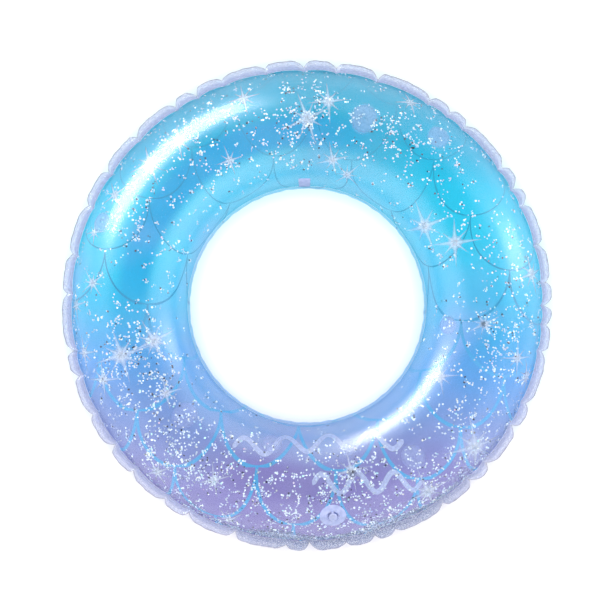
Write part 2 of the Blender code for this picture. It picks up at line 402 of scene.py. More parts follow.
def printed_film_material(name, clear_share, veil):
    """Translucent printed PVC: blue to lilac, painted light on the inner side of the tube and painted
    shade on the upper-left crown, pale clouds, fish-scale lines, then the film's gloss. veil is how much a
    second film over the print greys it."""
    s = Shader(name)
    flat = s.attribute("flat").outputs["Vector"]
    axes = s.node("SeparateXYZ", {0: flat}).outputs
    sway = s.step(s.noise(flat, 3.2, 2.0), 0.2, 0.8, -0.045, 0.045)
    height = s.math("ADD", axes[1], sway)
    share = s.math("DIVIDE", s.math("ADD", height, PRINT_REACH), 2 * PRINT_REACH, clamp=True)
    stops = [((at + PRINT_REACH) / (2 * PRINT_REACH), colour) for at, colour in PRINT_STOPS]
    colour = s.ramp(share, stops)
    rho = s.node("VectorMath", {0: flat}, operation="LENGTH").outputs["Value"]
    over = s.math("DIVIDE", s.math("SUBTRACT", rho, INNER_SEAM_R), pi * TUBE_R)
    # Painted light: the print is lightened towards the inner side of the tube, where light and the film's
    # reflections brighten it.
    colour = s.mix_colour(s.step(over, 0.46, 0.30, 0.0, 0.24), colour, srgb(206, 244, 255))
    # Painted shade: the crown of the tube is darker and a stronger blue on the upper-left, where the film
    # mirrors the dark ceiling.
    toward = s.node("VectorMath", {0: flat, 1: PAINTED_SHADE_WAY}, operation="DOT_PRODUCT").outputs["Value"]
    painted_shade = s.step(s.math("DIVIDE", toward, rho), 0.35, 0.95, 0.0, 0.75)
    painted_shade = s.math("MULTIPLY", painted_shade, s.math("MULTIPLY", s.step(over, 0.38, 0.45), s.step(over, 0.62, 0.54)))
    colour = s.mix_colour(painted_shade, colour, srgb(0, 186, 232))
    cloud = s.step(s.noise(flat, 5.5, 1.5, 0.4), 0.54, 0.76, 0.0, 0.45)
    colour = s.mix_colour(cloud, colour, CLOUD)
    line, wide = scale_lines(s, axes[0], axes[1])
    line_colour = s.mix_colour(wide, LINE_TEAL, LINE_BLUE)
    strength = s.math("MULTIPLY", line, s.step(axes[1], 0.32, -0.02, 0.50, 0.92))
    colour = s.mix_colour(strength, colour, line_colour)
    place = s.object_place()
    grain = s.step(s.noise(place, 420.0, 2.0), 0.3, 0.7, 0.96, 1.03)
    colour = s.node("VectorMath", {0: colour, 1: grain}, operation="MULTIPLY").outputs[0]
    colour = s.mix_colour(veil, colour, srgb(176, 180, 208))
    normal = s.bump(s.noise(place, 34.0, 3.0), 0.10, 0.002)
    ink = s.node("BsdfDiffuse", {"Color": colour, "Normal": normal}).outputs[0]
    through = s.node("BsdfTranslucent", {"Color": colour, "Normal": normal}).outputs[0]
    clear = s.node("BsdfTransparent", {"Color": colour}).outputs[0]
    body = s.mix(clear_share, s.mix(0.35, ink, through), clear)
    return s.done(film_gloss(s, body, 0.32, 1.29, normal))


def ink_material(name, colour, solid):
    """Soft-edged print whose strength is stored on its mesh."""
    s = Shader(name)
    strength = s.attribute("ink").outputs["Fac"]
    speckle = s.step(s.noise(s.object_place(), 260.0, 2.0), 0.25, 0.65, 0.78, 1.0)
    share = s.math("MULTIPLY", s.math("MULTIPLY", strength, speckle), solid, clamp=True)
    clear = s.node("BsdfTransparent", {"Color": (1, 1, 1)}).outputs[0]
    ink = s.node("BsdfDiffuse", {"Color": colour}).outputs[0]
    through = s.node("BsdfTranslucent", {"Color": colour}).outputs[0]
    return s.done(s.mix(share, clear, s.mix(0.4, ink, through)))


def weld_material():
    """The welded double film: clear but milky, crinkled, and darker next to the tube. across runs from
    0 at the tube to 1 at the free edge, sheet is the place on the weld in metres, and caught is how
    much fine glitter the weld has trapped."""
    s = Shader("welded_pvc")
    across = s.attribute("across").outputs["Fac"]
    sheet = s.attribute("sheet").outputs["Vector"]
    streaks = s.node("VectorMath", {0: sheet, 1: (190.0, 520.0, 1.0)}, operation="MULTIPLY").outputs[0]
    crinkle = s.noise(streaks, 1.0, 4.0, 0.6)
    fine = s.noise(s.object_place(), 620.0, 2.0)
    height = s.math("ADD", crinkle, s.math("MULTIPLY", fine, 0.25))
    normal = s.bump(height, 0.60, 0.0012)
    base = s.ramp(across, [(0.0, (0.52,) * 3), (0.40, (0.46,) * 3), (0.62, (0.26,) * 3),
                           (0.92, (0.28,) * 3), (0.975, (0.85,) * 3)])
    milk = s.math("MULTIPLY", base, s.step(crinkle, 0.30, 0.70, 0.65, 1.35), clamp=True)
    clear = s.node("BsdfTransparent", {"Color": srgb(238, 240, 248)}).outputs[0]
    tint = s.ramp(across, [(0.0, srgb(174, 180, 212)), (0.40, srgb(182, 188, 216)),
                           (0.62, srgb(218, 221, 238)), (0.92, srgb(208, 211, 228)),
                           (0.975, srgb(128, 118, 126))])
    caught = s.attribute("caught").outputs["Fac"]
    dust = s.noise(s.object_place(), 760.0, 1.0)
    trapped = s.math("MULTIPLY", caught, s.step(dust, 0.40, 0.50, 0.25, 1.0), clamp=True)
    dust_tone = s.ramp(s.noise(s.object_place(), 980.0, 1.0), [(0.38, srgb(84, 96, 130)),
                       (0.52, srgb(158, 170, 200)), (0.62, srgb(250, 252, 255))])
    tint = s.mix_colour(trapped, tint, dust_tone)
    milk = s.math("MAXIMUM", milk, s.math("MULTIPLY", trapped, 0.85))
    haze = s.node("BsdfDiffuse", {"Color": tint, "Normal": normal}).outputs[0]
    glow = s.node("BsdfTranslucent", {"Color": tint, "Normal": normal}).outputs[0]
    body = s.mix(milk, clear, s.mix(0.5, haze, glow))
    return s.done(film_gloss(s, body, 0.16, 1.50, normal))


def frosted_material(name, colour, clear_share):
    """Frosted soft PVC moulding, with a fine spark-eroded grain."""
    s = Shader(name)
    place = s.object_place()
    grain = s.noise(place, 1500.0, 3.0)
    cloud = s.step(s.noise(place, 130.0, 2.0), 0.3, 0.7)
    normal = s.bump(grain, 0.25, 0.0003)
    tint = s.mix_colour(cloud, colour, srgb(206, 212, 240))
    clear = s.node("BsdfTransparent", {"Color": srgb(232, 236, 250)}).outputs[0]
    matt = s.node("BsdfDiffuse", {"Color": tint, "Normal": normal}).outputs[0]
    glow = s.node("BsdfTranslucent", {"Color": tint, "Normal": normal}).outputs[0]
    body = s.mix(clear_share, s.mix(0.45, matt, glow), clear)
    return s.done(film_gloss(s, body, 0.34, 1.48, normal))


def flake_material(name, stops, metal, roughness):
    """Metallised flakes whose tone runs along the mesh's own tone value."""
    s = Shader(name)
    tone = s.attribute("tone").outputs["Fac"]
    scratch = s.step(s.noise(s.object_place(), 900.0, 2.0), 0.3, 0.7, 0.88, 1.0)
    colour = s.ramp(tone, stops)
    colour = s.node("VectorMath", {0: colour, 1: scratch}, operation="MULTIPLY").outputs[0]
    inputs = {"Base Color": colour, "Metallic": metal, "Roughness": roughness}
    return s.done(s.node("BsdfPrincipled", inputs).outputs[0])


CLEAR_FILM = clear_film_material()
PRINTED_FILM = printed_film_material("printed_pvc", 0.12, 0.0)
PRINTED_WELD = printed_film_material("printed_weld", 0.12, 0.50)
WELD = weld_material()
VALVE_BASE_PVC = frosted_material("frosted_base", srgb(184, 194, 226), 0.12)
VALVE_PVC = frosted_material("frosted_stem", srgb(190, 200, 232), 0.06)
SLEEVE_PVC = frosted_material("frosted_sleeve", srgb(232, 236, 252), 0.15)
STAR_INK = ink_material("star_ink", srgb(252, 250, 255), 1.0)
BUBBLE_INK = ink_material("bubble_ink", srgb(220, 224, 250), 0.50)
WAVE_INK = ink_material("wave_ink", srgb(230, 232, 252), 0.95)


def finish_piece(ob, material, body, slot, *nodes):
    ob.data.materials.append(material)
    if body:
        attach(ob, body)
    if nodes:
        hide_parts(*nodes)
    return ob


# Films

FILM_ROWS = 38
VALVE_CUT_R = 0.0110


def film_turns():
    """Steps over the tube, closer together towards the outer seam. They stop short of the weld."""
    share = np.linspace(0, 1, FILM_ROWS)
    clear = WELD_GAP / TUBE_R
    return clear + (pi - 2 * clear) * (1 - (1 - share) ** 1.6)


def closed_film(name, side, hole=None):
    """A film as a thin closed shell. hole is a frame and a radius to leave open."""
    azimuth, turn = seam_azimuths(), film_turns()
    rows, cols = len(azimuth), len(turn)
    a, t = azimuth[:, None], turn[None, :]
    outer = tube_points(a, t, side, np.zeros((rows, cols))).reshape(-1, 3)
    inner = tube_points(a, t, side, np.full((rows, cols), FILM_T)).reshape(-1, 3)
    quads = grid_quads(rows, cols, wrap=True)
    keep = np.ones(len(quads), bool)
    if hole:
        matrix, radius = hole
        back = np.array(matrix.inverted().to_3x3())
        local = (outer - np.array(matrix.translation)) @ back.T
        centre = local[quads].mean(axis=1)
        keep = (np.hypot(centre[:, 0], centre[:, 1]) > radius) | (np.abs(centre[:, 2]) > TUBE_R / 2)
        rim = np.intersect1d(quads[keep], quads[~keep])
        flat = local[rim, :2]
        move = flat * (radius / np.linalg.norm(flat, axis=1, keepdims=True) - 1)
        shift = np.concatenate([move, np.zeros((len(rim), 1))], axis=1) @ np.array(matrix.to_3x3()).T
        outer[rim] += shift
        inner[rim] += shift
    walls = rim_walls(quads[keep], len(outer))
    faces = np.concatenate([quads[keep], quads[keep][:, ::-1] + len(outer), walls])
    if side < 0:
        faces = faces[:, ::-1]
    points = np.concatenate([outer, inner])
    used = np.unique(faces)
    renumber = np.zeros(len(points), int)
    renumber[used] = np.arange(len(used))
    ob = make_mesh(name, points[used], [renumber[faces]])
    flat = flat_place(*np.broadcast_arrays(a, t)).reshape(-1, 3)
    set_attribute(ob, "flat", np.concatenate([flat, flat])[used])
    return ob


def rim_walls(quads, offset):
    """Quads that join the edge of a sheet to the same edge of its copy."""
    edges = np.concatenate([quads[:, [k, (k + 1) % 4]] for k in range(4)])
    key = np.sort(edges, axis=1)
    code = key[:, 0].astype(np.int64) * offset + key[:, 1]
    _, first, count = np.unique(code, return_index=True, return_counts=True)
    rim = edges[first[count == 1]]
    return np.stack([rim[:, 1], rim[:, 0], rim[:, 0] + offset, rim[:, 1] + offset], axis=1)


top_skin = closed_film("top_film_skin", 1, hole=(VALVE, VALVE_CUT_R))
finish_piece(top_skin, CLEAR_FILM, "float", "clear_film", "top_film")
bottom_skin = closed_film("bottom_film_skin", -1)
finish_piece(bottom_skin, PRINTED_FILM, "float", "printed_film", "bottom_film")


# Seams

# Fine glitter that has slid down to the seam near the valve: azimuth and spread in degrees, metres
HEAP_FLAKES = 7200
HEAP_AT = -78
HEAP_SPREAD = 21
HEAP_WIDTH = 0.040

FLANGE_STEPS = 18
FLANGE_T = 0.0011
FLANGE_LIFT = 0.0055
FOLD_WIDTH = 0.0050
NOTCH_WIDTHS = (0.0065, 0.0125)
WELD_LINES = (0.08, 0.40)
PATCH_LOW = 0.0002
PATCH_HIGH = 0.0007


def flange():
    """The scalloped outer weld: flat between puckers, folded up or down and drawn in at each one."""
    azimuth = seam_azimuths()
    share = np.linspace(0, 1, FLANGE_STEPS)
    out, lift = pinch(azimuth)
    gap = ((azimuth[:, None] - PUCKER_AT + pi) % (2 * pi) - pi) * OUTER_SEAM_R
    fold = np.exp(-np.abs(gap) / FOLD_WIDTH)
    notch = np.where(gap * PUCKER_LEAN > 0, *NOTCH_WIDTHS)
    drawn = (np.clip(1 - np.abs(gap) / notch, 0, 1) ** 1.25 * PUCKER_DEPTH).sum(axis=-1)
    rise = FLANGE_LIFT * (fold * PUCKER_DEPTH * PUCKER_LIFT).sum(axis=-1)
    bow = np.sin(pi * pucker_share_at(azimuth)) ** 0.5
    ragged = 0.04 * np.sin(azimuth * 97) * np.sin(azimuth * 31 + 0.7)
    width = FLANGE_W * (0.86 + 0.08 * bow + ragged - 0.50 * np.clip(drawn, 0, 1.0))
    wave = 0.0018 * np.sin(azimuth * 23) + 0.0012 * np.sin(azimuth * 41 + 1.0)
    r = (OUTER_SEAM_R + out)[:, None] + WELD_GAP + share[None, :] * (width - WELD_GAP)[:, None]
    z = SEAM_Z + lift[:, None] + (rise + wave * bow)[:, None] * share[None, :] ** 1.3
    bead = sum(np.exp(-(((share - at) / 0.035) ** 2)) for at in WELD_LINES)
    half = FLANGE_T / 2 * (0.75 + 0.55 * bead + 0.5 * np.exp(-(((share - 1) / 0.10) ** 2)))
    x, y = np.cos(azimuth)[:, None], np.sin(azimuth)[:, None]
    over = np.stack([r * x, r * y, z + half], axis=-1)
    under = np.stack([r * x, r * y, z - half], axis=-1)
    section = np.concatenate([over, under[:, ::-1]], axis=1)
    rows, cols = section.shape[:2]
    ob = make_mesh("outer_flange", section, [loop_quads(rows, cols, wrap=True)])
    across = np.broadcast_to(np.concatenate([share, share[::-1]]), (rows, cols))
    along = np.broadcast_to((azimuth * OUTER_SEAM_R)[:, None], (rows, cols))
    from_heap = (np.degrees(azimuth)[:, None] - HEAP_AT + 180) % 360 - 180
    caught = np.exp(-((from_heap / (1.5 * HEAP_SPREAD)) ** 4)) * np.clip(1.6 - across * 0.9, 0, 1)
    set_attribute(ob, "across", across.ravel())
    set_attribute(ob, "sheet", np.stack([along, across * FLANGE_W, 0 * along], axis=-1).reshape(-1, 3))
    set_attribute(ob, "caught", caught.ravel())
    return ob


def inner_weld():
    """The narrow smooth strip round the hole, with a rounded edge."""
    azimuth = np.linspace(0, 2 * pi, 720, endpoint=False)
    ends = radians(90) + np.linspace(0, pi, 7)
    half = FLANGE_T / 2
    reach = [(INNER_SEAM_R - WELD_GAP, half)]
    reach += [(CLEAR_HOLE_R + half + half * cos(e), half * sin(e)) for e in ends]
    reach += [(INNER_SEAM_R - WELD_GAP, -half)]
    reach = np.array(reach)
    wave = 0.00025 * np.sin(azimuth * 37) + 0.0002 * np.sin(azimuth * 61 + 2)
    edge = (INNER_SEAM_R - reach[:, 0]) / (INNER_SEAM_R - CLEAR_HOLE_R)
    r = reach[None, :, 0] + wave[:, None] * edge[None, :]
    z = SEAM_Z + reach[None, :, 1] + (wave * 1.6)[:, None] * edge[None, :]
    x, y = np.cos(azimuth)[:, None], np.sin(azimuth)[:, None]
    section = np.stack([r * x, r * y, z], axis=-1)
    rows, cols = section.shape[:2]
    ob = make_mesh("inner_weld", section, [loop_quads(rows, cols, wrap=True)])
    set_attribute(ob, "flat", (section * (1, 1, 0)).reshape(-1, 3))
    return ob


finish_piece(flange(), WELD, "float", "weld", "outer_seam_band")
finish_piece(inner_weld(), PRINTED_WELD, "float", "weld", "inner_seam_band")


def seam_patch():
    """The small rectangular patch on the film over the inner seam."""
    low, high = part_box("seam_patch")
    azimuth = atan2((low[1] + high[1]) / 2, (low[0] + high[0]) / 2)
    half = (high[0] - low[0]) / 2 / (INNER_SEAM_R + 0.006)
    turn_to = pi - asin((high[2] - SEAM_Z) / TUBE_R)
    turns = np.linspace(0.03, pi - turn_to, 14)
    around = np.linspace(azimuth - half, azimuth + half, 12)
    a, t = np.meshgrid(around, turns, indexing="ij")
    low_side = tube_points(a, t, 1, np.full(a.shape, -PATCH_LOW)).reshape(-1, 3)
    high_side = tube_points(a, t, 1, np.full(a.shape, -PATCH_HIGH)).reshape(-1, 3)
    quads = grid_quads(*a.shape, wrap=False)
    faces = np.concatenate([quads, quads[:, ::-1] + len(low_side), rim_walls(quads, len(low_side))])
    return make_mesh("patch", np.concatenate([high_side, low_side]), [faces])


finish_piece(seam_patch(), VALVE_BASE_PVC, "float", "weld", "seam_patch")


# Valve, in its own frame: radius and height above the tube, as in the CAD

SLEEVE_R = 0.0084
SLEEVE_IN = 0.0014
SLEEVE_BULGE = 0.0003
SLEEVE_TOP = 0.0010
SLEEVE_DOWN = 0.0104
SLEEVE_T = 0.0005
BORE_R = 0.0040
NECK_R = 0.0052
RIM_R = 0.0058
RIM_Z = (0.0010, 0.0018)
COLLAR_R = 0.0062
COLLAR_Z = (-0.0095, -0.0083)


def rounded(profile, radius, steps=4):
    """A closed outline with each corner rounded off."""
    points = [Vector(p) for p in profile]
    line = []
    for k, corner in enumerate(points):
        before, after = points[k - 1] - corner, points[(k + 1) % len(points)] - corner
        trim = min(radius, before.length * 0.45, after.length * 0.45)
        start, end = corner + before.normalized() * trim, corner + after.normalized() * trim
        for m in range(steps + 1):
            t = m / steps
            line.append(start * (1 - t) ** 2 + corner * 2 * t * (1 - t) + end * t ** 2)
    return [(p.x, p.y) for p in line]


def turned(profile):
    """Points of a closed outline, as radius and height, turned about the valve's axis."""
    outline = np.array(profile)
    turn = np.linspace(0, 2 * pi, VALVE_SIDES, endpoint=False)
    r, w = outline[None, :, 0], outline[None, :, 1]
    x, y = r * np.cos(turn)[:, None], r * np.sin(turn)[:, None]
    return np.stack([x, y, w + 0 * x], axis=-1)


def turned_piece(name, profile):
    points = turned(profile)
    faces = loop_quads(points.shape[0], points.shape[1], wrap=True)
    return make_mesh(name, placed(VALVE, points.reshape(-1, 3)), [faces])


def valve_base():
    """The round base, which follows the tube, with a welding ring and a low collar."""
    outline = [(0.0087, 0.0001), (0.0187, 0.0001), (0.0190, 0.0005), (0.0186, 0.0009)]
    outline += [(0.0176, 0.0010), (0.0171, 0.0013), (0.0163, 0.0013), (0.0158, 0.0010)]
    outline += [(0.0112, 0.0011), (0.0104, 0.0016), (0.0092, 0.0016), (0.0087, 0.0011)]
    profile = rounded(outline, 0.0004, steps=3)
    points = turned(profile)
    height = points[..., 2].copy()
    points[..., 2] = 0
    shape = points.shape
    points = on_tube(placed(VALVE, points.reshape(-1, 3)), height.reshape(-1))
    faces = loop_quads(shape[0], shape[1], wrap=True)
    return make_mesh("valve_base", points, [faces])


def sleeve():
    """The thin rolling wall between the base and the stem."""
    steps = np.linspace(0, 1, 30)
    r = SLEEVE_R - SLEEVE_IN * steps + SLEEVE_BULGE * np.sin(pi * steps)
    w = SLEEVE_TOP - SLEEVE_DOWN * steps
    outline = [*zip(r, w)] + [(a - SLEEVE_T, b) for a, b in zip(r[::-1], w[::-1])]
    return turned_piece("valve_sleeve", outline[::-1])


def stem():
    (foot, collar), (rim, top) = COLLAR_Z, RIM_Z
    outline = [(BORE_R, foot), (COLLAR_R, foot), (COLLAR_R, collar), (NECK_R, collar)]
    outline += [(NECK_R, rim), (RIM_R, rim), (RIM_R, top), (BORE_R, top)]
    return turned_piece("stem_tube", rounded(outline, 0.0003))


def solid_turned(profile, offset):
    """Points and faces of a solid body turned about an axis set off along Y, closed with caps."""
    points = turned(profile)
    points[..., 1] += offset
    rows, cols = points.shape[:2]
    quads = grid_quads(rows, cols, wrap=True)
    first = np.arange(rows) * cols
    return points.reshape(-1, 3), [quads, first[None, ::-1], (first + cols - 1)[None, :]]


def tongue(half_width, reach, root, low, high):
    """Points and faces of a flat tab with a round end, from root out to reach along -Y."""
    turns = np.linspace(0, -pi, 15)
    x = np.concatenate(([half_width], half_width * np.cos(turns), [-half_width]))
    y = np.concatenate(([root], -reach + half_width + half_width * np.sin(turns), [root]))
    top = np.stack([x, y, 0 * x + high], axis=-1)
    base = np.stack([x, y, 0 * x + low], axis=-1)
    n = len(x)
    ring = np.arange(n)
    sides = np.stack([ring, (ring + 1) % n, (ring + 1) % n + n, ring + n], axis=-1)
    return np.concatenate([top, base]), [sides, ring[None, ::-1], (ring + n)[None, :]]


def joined(name, *parts):
    """One object from several bodies given as points and faces in the valve's frame."""
    points, faces, offset = [], [], 0
    for body_points, body_faces in parts:
        points.append(body_points)
        faces += [np.asarray(f) + offset for f in body_faces]
        offset += len(body_points)
    return make_mesh(name, placed(VALVE, np.concatenate(points)), faces)


def bevelled(ob, width):
    mod = ob.modifiers.new("edges", "BEVEL")
    mod.width = width
    mod.segments = 2
    mod.limit_method = "ANGLE"
    mod.angle_limit = radians(40)
    return ob


def stopper():
    """The stopper: a bullet-shaped shank, a head with a dished top and a pull tab."""
    profile = [(0.0002, -0.0030), (0.0018, -0.0030), (0.0024, -0.0028), (0.0032, -0.0017)]
    profile += [(0.0036, -0.0002), (0.0037, 0.0021), (0.0060, 0.0021), (0.0063, 0.0024)]
    profile += [(0.0063, 0.0031), (0.0059, 0.0035), (0.0047, 0.0035), (0.0040, 0.0031)]
    profile += [(0.0002, 0.0030)]
    head = solid_turned(profile, 0.0)
    tab = tongue(0.0021, 0.0096, -0.0050, 0.0023, 0.0034)
    return bevelled(joined("stopper", head, tab), 0.00025)


def non_return_flap():
    middle, half = -0.0101, 0.0003
    disc = [(0.0002, middle - half), (0.0047, middle - half), (0.0049, middle - half / 2)]
    disc += [(0.0049, middle + half / 2), (0.0047, middle + half), (0.0002, middle + half)]
    tab = tongue(0.0015, 0.0061, -0.0040, middle - half, middle + half)
    tab[0][:, :2] *= -1
    return bevelled(joined("non_return_flap", solid_turned(disc, 0.0), tab), 0.0001)


def strap():
    """The strap from the stem's rim, bent back over itself to the stopper's head."""
    low, high, bend_v, start_v, end_v = 0.0014, 0.0028, 0.0085, 0.0059, 0.0064
    bend = (high - low) / 2
    turns = np.linspace(-pi / 2, pi / 2, 17)
    ahead = np.linspace(start_v, bend_v, 8)[:-1]
    back = np.linspace(bend_v, end_v, 8)[1:]
    v = np.concatenate([ahead, bend_v + bend * np.cos(turns), back])
    w = np.concatenate([0 * ahead + low, (low + high) / 2 + bend * np.sin(turns), 0 * back + high])
    normal = np.concatenate([0 * ahead - pi / 2, turns, 0 * back + pi / 2])
    half_t, half_w = 0.00028, 0.0015
    corners = [(-half_w, -half_t), (half_w, -half_t), (half_w, half_t), (-half_w, half_t)]
    outline = rounded(corners, 0.0002)
    u, d = np.array(outline).T
    y = v[:, None] + d[None, :] * np.cos(normal)[:, None]
    z = w[:, None] + d[None, :] * np.sin(normal)[:, None]
    points = np.stack([np.broadcast_to(u, y.shape), y, z], axis=-1)
    rows, cols = y.shape
    last = (rows - 1) * cols + np.arange(cols)
    faces = [loop_quads(rows, cols, wrap=False), np.arange(cols)[None, :], last[None, ::-1]]
    return make_mesh("stopper_strap", placed(VALVE, points.reshape(-1, 3)), faces)


finish_piece(valve_base(), VALVE_BASE_PVC, "float", "valve_plastic", "valve_flange")
finish_piece(stem(), VALVE_PVC, "valve_stem", "valve_plastic", "valve_neck")
finish_piece(stopper(), VALVE_PVC, "plug", "valve_plastic", "valve_plug")
finish_piece(non_return_flap(), VALVE_PVC, "flap", "valve_plastic", "valve_flap")
rolling = finish_piece(sleeve(), SLEEVE_PVC, None, "valve_plastic", "valve_diaphragm")
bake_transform(rolling)
tie = finish_piece(strap(), VALVE_PVC, None, "valve_plastic", "plug_tether")
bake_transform(tie)


# Printed stars, bubbles and waves, as thin ink that stands on both faces of the lower film, clear of
# the flats between the film's points

INK_PROUD = 0.00022
# Of the long and the short rays of a star, as shares of its size
RAY_LENGTHS = (1.0, 0.66)
RAY_HALVES = (0.120, 0.095)
STAR_CORE = 0.30
RAY_TIP = 0.0005
# Azimuth in degrees, share of the way over the tube, size in metres, turn in degrees
STARS = [
    (128, 0.70, 0.034, 10), (150, 0.80, 0.030, 30), (138, 0.72, 0.040, 20), (161, 0.83, 0.026, 0),
    (107, 0.76, 0.032, 15), (84, 0.68, 0.038, 5), (90, 0.57, 0.046, 22), (80, 0.34, 0.032, 12),
    (73, 0.26, 0.030, 40), (63, 0.86, 0.032, 8), (34, 0.30, 0.050, 20), (23, 0.42, 0.044, 5),
    (8, 0.85, 0.040, 18), (-6, 0.52, 0.030, 30), (-14, 0.76, 0.032, 0), (-18, 0.90, 0.036, 15),
    (180, 0.90, 0.032, 12), (174, 0.75, 0.030, 35), (192, 0.86, 0.034, 8), (195, 0.60, 0.052, 18),
    (193, 0.40, 0.044, 28), (200, 0.76, 0.036, 4), (228, 0.82, 0.038, 24), (242, 0.63, 0.032, 10),
    (250, 0.86, 0.034, 32), (-75, 0.48, 0.036, 14), (-40, 0.78, 0.060, 12), (-57, 0.80, 0.050, 26),
    (118, 0.44, 0.026, 20), (-28, 0.36, 0.034, 6), (212, 0.45, 0.030, 16),
]
# Azimuth in degrees, share of the way over the tube, radius in metres
GLOWS = [
    (-40, 0.78, 0.034), (-57, 0.80, 0.024), (195, 0.60, 0.018), (193, 0.40, 0.022),
    (138, 0.72, 0.018),
]
BUBBLES = [
    (222, 0.44, 0.024), (256, 0.30, 0.020), (-74, 0.34, 0.017), (73, 0.62, 0.026),
    (52, 0.74, 0.022), (-55, 0.56, 0.022), (158, 0.80, 0.020), (-8, 0.30, 0.018),
]


def ink_layers(name, grids, inks, faces):
    """Ink as a thin closed body through the film, from places on the flat sheet."""
    azimuth, turn = from_flat(grids[:, 0], grids[:, 1])
    turn = np.clip(turn, 0.02, pi - 0.02)
    over = tube_points(azimuth, turn, -1, np.full(len(turn), FILM_T + INK_PROUD))
    under = tube_points(azimuth, turn, -1, np.full(len(turn), -INK_PROUD))
    under[:, 2] = np.minimum(under[:, 2], over[:, 2] - FILM_T)
    n = len(grids)
    walls = rim_walls(faces, n)
    both = np.concatenate([faces, faces[:, ::-1] + n, walls])
    ob = make_mesh(name, np.concatenate([over, under]), [both])
    set_attribute(ob, "ink", np.concatenate([inks, inks]))
    return ob


def star_sheet(x, y, size, turn):
    """One eight-rayed sparkle as points, ink strengths and quads on the flat sheet."""
    points, ink, quads = [], [], []
    steps = np.linspace(0, 1, 9)
    for k in range(8):
        angle = turn + k * pi / 4
        length = size * RAY_LENGTHS[k % 2]
        half = size * RAY_HALVES[k % 2] * (1 - steps) ** 1.1 + RAY_TIP
        ahead = np.array([cos(angle), sin(angle)])
        aside = np.array([-sin(angle), cos(angle)])
        first = len(points)
        for t, h in zip(steps, half):
            middle = np.array([x, y]) + ahead * (length * (0.02 + t))
            points += [middle - aside * h, middle, middle + aside * h]
            ink += [0.0, (1 - t) ** 0.45, 0.0]
        for m in range(len(steps) - 1):
            at = first + 3 * m
            quads += [(at, at + 3, at + 4, at + 1), (at + 1, at + 4, at + 5, at + 2)]
    return points, ink, quads


def disc_sheet(x, y, radius, soft):
    """A round soft-edged disc on the flat sheet: rings of points, ink strengths and quads."""
    shares = np.linspace(0.02, 1, 7)
    around = np.linspace(0, 2 * pi, 36, endpoint=False)
    points = [(x + radius * s * cos(a), y + radius * s * sin(a)) for a in around for s in shares]
    ink = [float(np.clip((1 - s) / soft, 0, 1)) for _ in around for s in shares]
    quads = grid_quads(len(around), len(shares), wrap=True)[:, ::-1]
    return points, ink, [tuple(q) for q in quads]


def sheets_piece(name, sheets, material):
    points, ink, quads = [], [], []
    for sheet_points, sheet_ink, sheet_quads in sheets:
        quads += [tuple(c + len(points) for c in q) for q in sheet_quads]
        points += [tuple(p) for p in sheet_points]
        ink += sheet_ink
    ob = ink_layers(name, np.array(points), np.array(ink), np.array(quads))
    return finish_piece(ob, material, "float", "printed_film")


def flat_point(azimuth_deg, share):
    rho = INNER_SEAM_R + TUBE_R * pi * share
    a = radians(azimuth_deg)
    return rho * cos(a), rho * sin(a)


def wave_sheet(start, end, amplitude, crests, half):
    """A wavy stroke with round ends between two places on the flat sheet."""
    start, end = np.array(start), np.array(end)
    t = np.linspace(0, 1, 40 * crests + 1)
    along = end - start
    aside = np.array([-along[1], along[0]]) / np.linalg.norm(along)
    line = start + along * t[:, None] + aside * (amplitude * np.sin(2 * pi * crests * t))[:, None]
    tangent = np.gradient(line, axis=0)
    tangent /= np.linalg.norm(tangent, axis=1, keepdims=True)
    normal = np.stack([-tangent[:, 1], tangent[:, 0]], axis=-1)
    from_end = np.minimum(t, 1 - t) * np.linalg.norm(along)
    cap = np.sqrt(np.clip(1 - (1 - np.clip(from_end / half, 0, 1)) ** 2, 0.02, 1))
    points, ink = [], []
    for p, n, c in zip(line, normal, cap):
        for offset, strength in ((-1, 0), (-0.8, 1), (0, 1), (0.8, 1), (1, 0)):
            points.append(p + n * offset * half * c)
            ink.append(float(strength))
    quads = grid_quads(len(t), 5, wrap=False)[:, ::-1]
    return points, ink, [tuple(q) for q in quads]


star_sheets = [star_sheet(*flat_point(a, t), size, radians(turn)) for a, t, size, turn in STARS]
star_sheets += [disc_sheet(*flat_point(a, t), size * STAR_CORE, 0.6) for a, t, size, turn in STARS]
star_sheets += [disc_sheet(*flat_point(a, t), radius, 1.6) for a, t, radius in GLOWS]
sheets_piece("print_stars", star_sheets, STAR_INK)
bubble_sheets = [disc_sheet(*flat_point(a, t), r, 0.25) for a, t, r in BUBBLES]
sheets_piece("print_bubbles", bubble_sheets, BUBBLE_INK)
# Start and end on the flat sheet, amplitude, crests, half width
WAVES = [
    ((-0.130, -0.250), (0.168, -0.234), 0.0150, 4, 0.0050),
    ((0.010, -0.310), (0.196, -0.298), 0.0150, 3, 0.0050),
]
sheets_piece("print_waves", [wave_sheet(*w) for w in WAVES], WAVE_INK)


# Glitter

FLAKES = 7600
# Azimuth and its spread in degrees, share over the tube and its spread, weight
CLUSTERS = [
    (-90, 34, 0.60, 0.20, 1.0), (-80, 26, 0.955, 0.035, 6.5), (-135, 15, 0.62, 0.13, 1.3),
    (-163, 13, 0.50, 0.20, 0.8), (150, 10, 0.58, 0.12, 0.6), (92, 13, 0.55, 0.14, 0.9),
    (60, 14, 0.62, 0.12, 0.8), (-6, 24, 0.64, 0.13, 0.75), (-60, 20, 0.80, 0.14, 0.7),
    (128, 16, 0.66, 0.16, 0.35),
]
EVERYWHERE = 0.22
MOST_DENSE = 7.0
CLUMP = 0.0026
FLAKE_T = 0.00012
FLAKE_RADII = (0.0008, 0.0017)
FINE_RADII = (0.0006, 0.0012)
FLAKE_TILT = 0.30
LEAST_LIFT = 0.0004
MORE_LIFT = 0.0016
SILVER_UP_TO, TINTED_UP_TO = 0.68, 0.89


